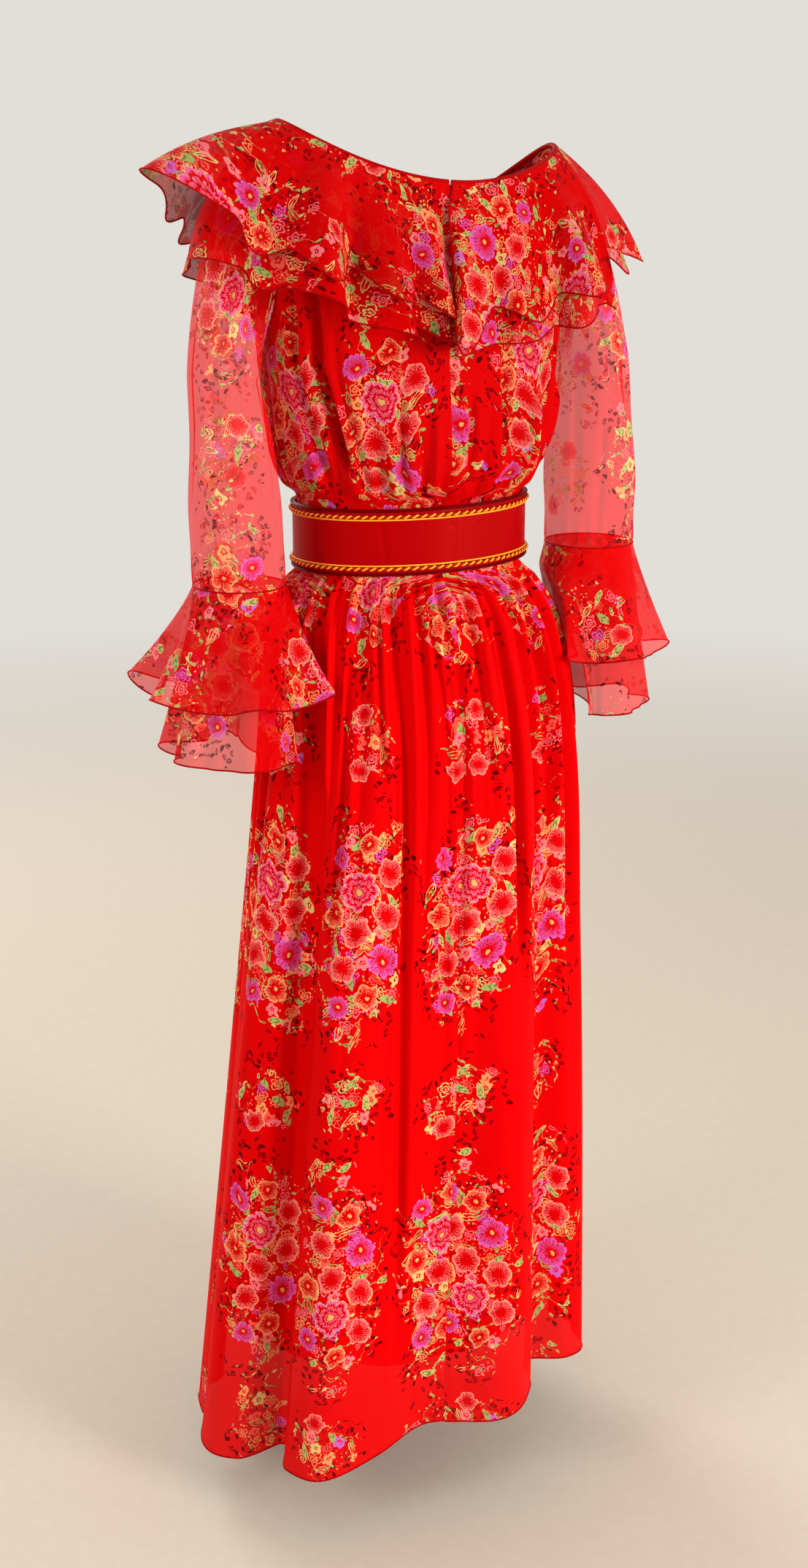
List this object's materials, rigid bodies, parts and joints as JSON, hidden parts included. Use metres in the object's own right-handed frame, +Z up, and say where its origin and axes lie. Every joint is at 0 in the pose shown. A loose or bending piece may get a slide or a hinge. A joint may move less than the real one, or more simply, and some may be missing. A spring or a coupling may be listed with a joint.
{
  "type": "ruffle maxi dress",
  "caption": "Worn maxi dress with a gathered skirt, wide corded belt, sheer sleeves with tiered flounce cuffs and a tiered flounce collar on an open neck.",
  "frame": {"origin": "the middle of the neck opening, at shoulder height, where the wearer's shoulders hold the dress", "axes": "+Z up; the front of the dress faces -Y; the wearer's left is +X"},
  "size_m": [0.5916, 0.4256, 1.4354],
  "materials": {
    "printed_chiffon": "matt red chiffon with a floral print, over a lining",
    "sheer_chiffon": "sheer red chiffon with a floral print",
    "lining_satin": "plain red lining with a soft sheen",
    "belt_band": "smooth plain dark red satin",
    "braid": "twisted orange and yellow cord",
    "belt_piping": "dark maroon piping"
  },
  "bodies": {
    "root": {"belt_braid_bottom": "braid", "belt_braid_top": "braid", "belt_edge_bottom": "belt_piping", "belt_edge_top": "belt_piping", "belt_panel": "belt_band", "bodice_back_left": "printed_chiffon", "bodice_back_right": "printed_chiffon", "bodice_front": "printed_chiffon", "collar_lower": "sheer_chiffon", "collar_upper": "sheer_chiffon", "cuff_lower_left": "sheer_chiffon", "cuff_lower_right": "sheer_chiffon", "cuff_upper_left": "sheer_chiffon", "cuff_upper_right": "sheer_chiffon", "lining_back_left": "lining_satin", "lining_back_right": "lining_satin", "lining_front": "lining_satin", "neck_binding": "printed_chiffon", "skirt_back_left": "printed_chiffon", "skirt_back_right": "printed_chiffon", "skirt_front": "printed_chiffon", "sleeve_left": "sheer_chiffon", "sleeve_right": "sheer_chiffon"}
  },
  "joints": []
}
